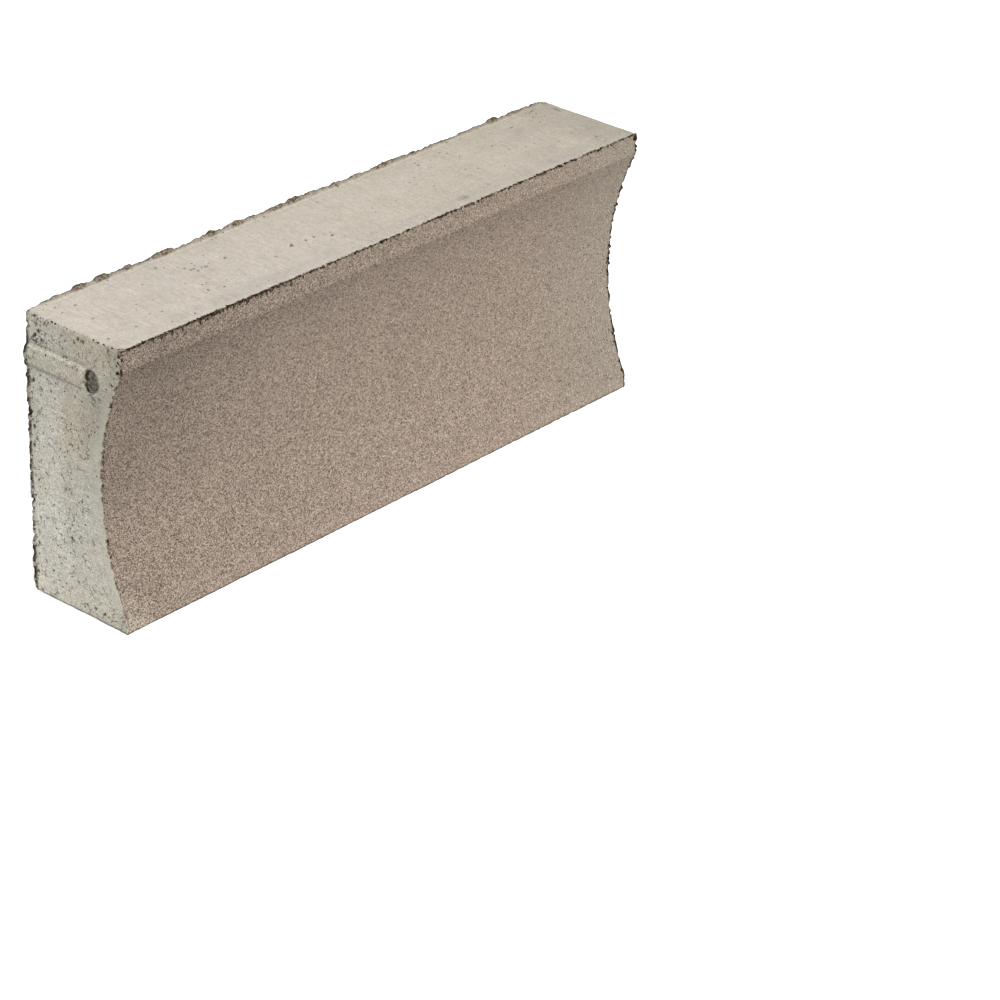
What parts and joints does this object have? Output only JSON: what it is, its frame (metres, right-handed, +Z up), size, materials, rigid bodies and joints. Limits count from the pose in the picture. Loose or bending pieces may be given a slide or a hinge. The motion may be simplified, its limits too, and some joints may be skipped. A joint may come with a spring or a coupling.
{
  "type": "concrete edger",
  "caption": "Pressed concrete edging block, set on edge along beds, lawns and paving, with a full-length scooped front, flat back and half-round spacer nibs on its ends.",
  "frame": {"origin": "middle of the footprint, on the ground plane", "axes": "+X along the block's length, -Y out of the scooped front, +Y out of the flat back, +Z up"},
  "size_m": [0.505, 0.086, 0.2],
  "materials": {
    "backing_concrete": "coarse grey-cream backing concrete with a pale mould-wall skin, pits and drag marks",
    "facing_concrete": "fine-grained tan facing concrete, sandy and matt, pressed"
  },
  "bodies": {
    "root": {"backing_body": "backing_concrete", "facing_layer": "facing_concrete"}
  },
  "joints": []
}
